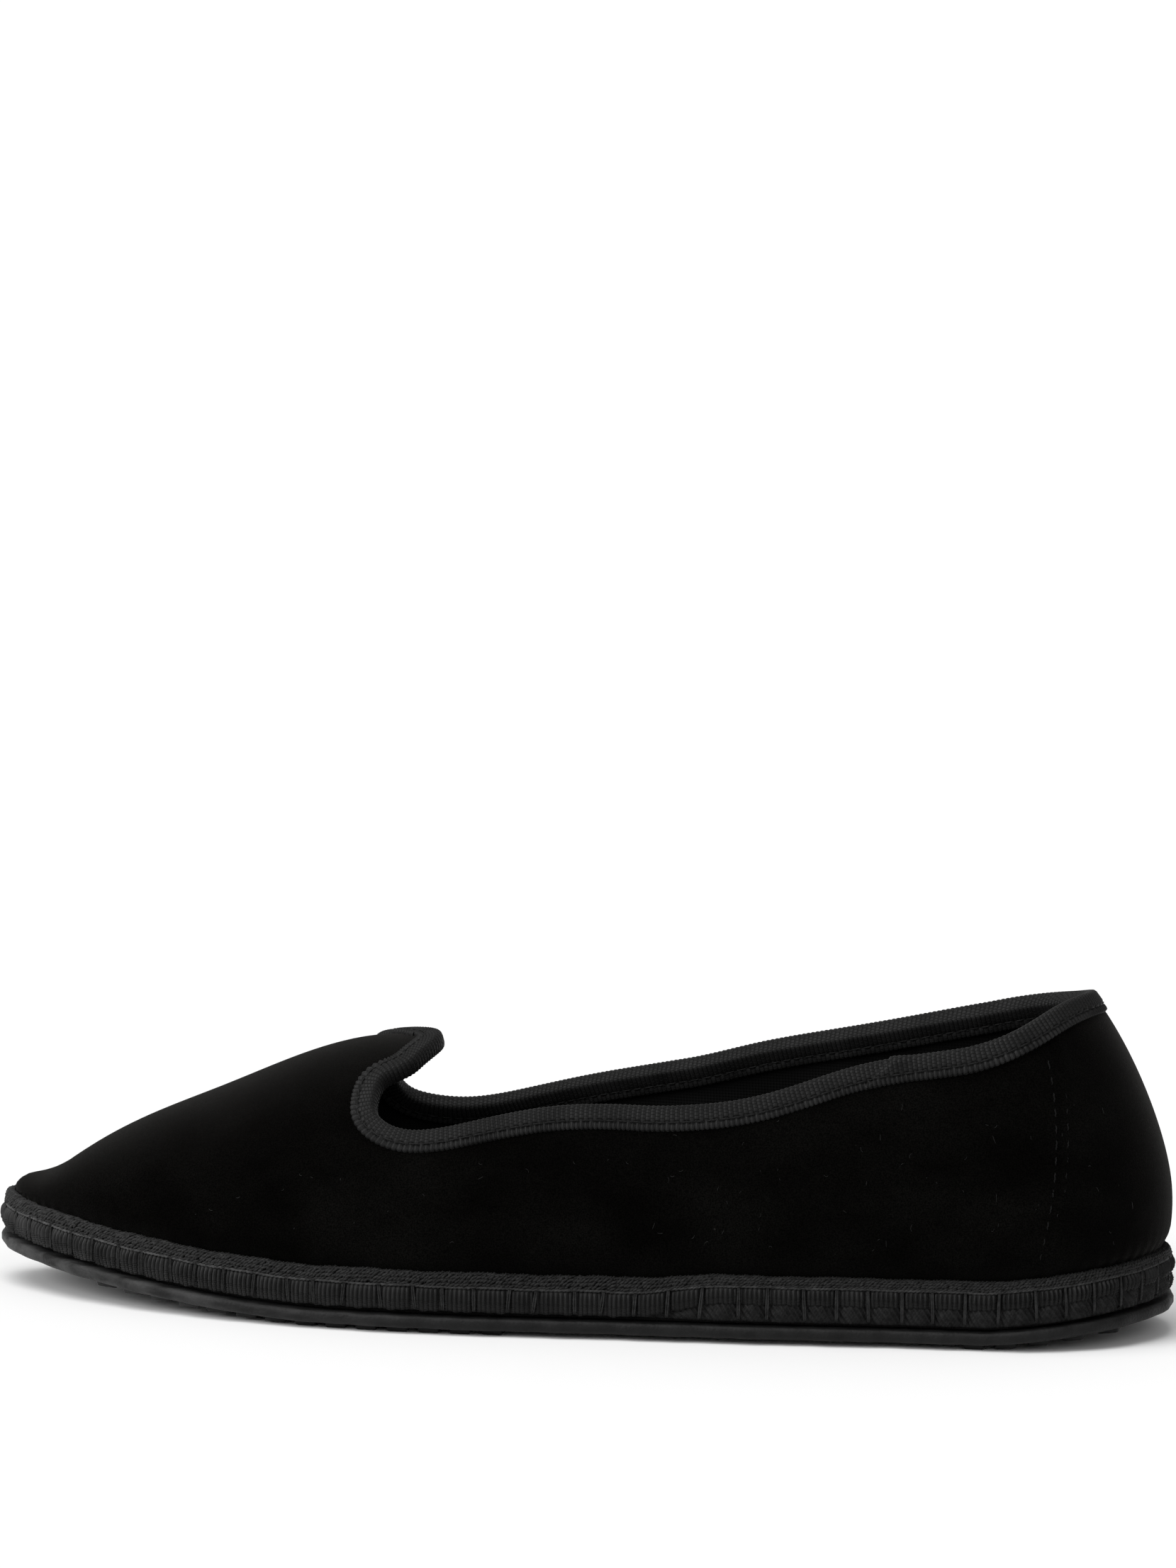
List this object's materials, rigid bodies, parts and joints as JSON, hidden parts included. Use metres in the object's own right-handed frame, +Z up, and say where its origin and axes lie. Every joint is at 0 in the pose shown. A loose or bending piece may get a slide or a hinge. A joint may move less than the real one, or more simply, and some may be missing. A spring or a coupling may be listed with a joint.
{
  "type": "venetian slipper",
  "caption": "Black velvet slip-on with a pointed tongue between curved notches, a bound topline, a taped and stitched textile midsole, and a thin lugged rubber outsole.",
  "frame": {"origin": "middle of the shoe's plan on the floor that it stands on", "axes": "+X towards the heel, -Y towards the outer side of the left foot, +Z up"},
  "size_m": [0.252, 0.0843, 0.0706],
  "materials": {
    "velvet": "black velvet pile with a soft sheen at its edges",
    "grosgrain": "ribbed matt black tape",
    "textile": "pressed layers of black cloth and yarn",
    "lining": "plain black cotton",
    "rubber": "matt black rubber, scuffed lighter at its edge"
  },
  "bodies": {
    "root": {"upper": "velvet", "topline_binding": "grosgrain", "rand_tape": "grosgrain", "midsole": "textile", "insole": "lining", "outsole": "rubber"}
  },
  "joints": []
}
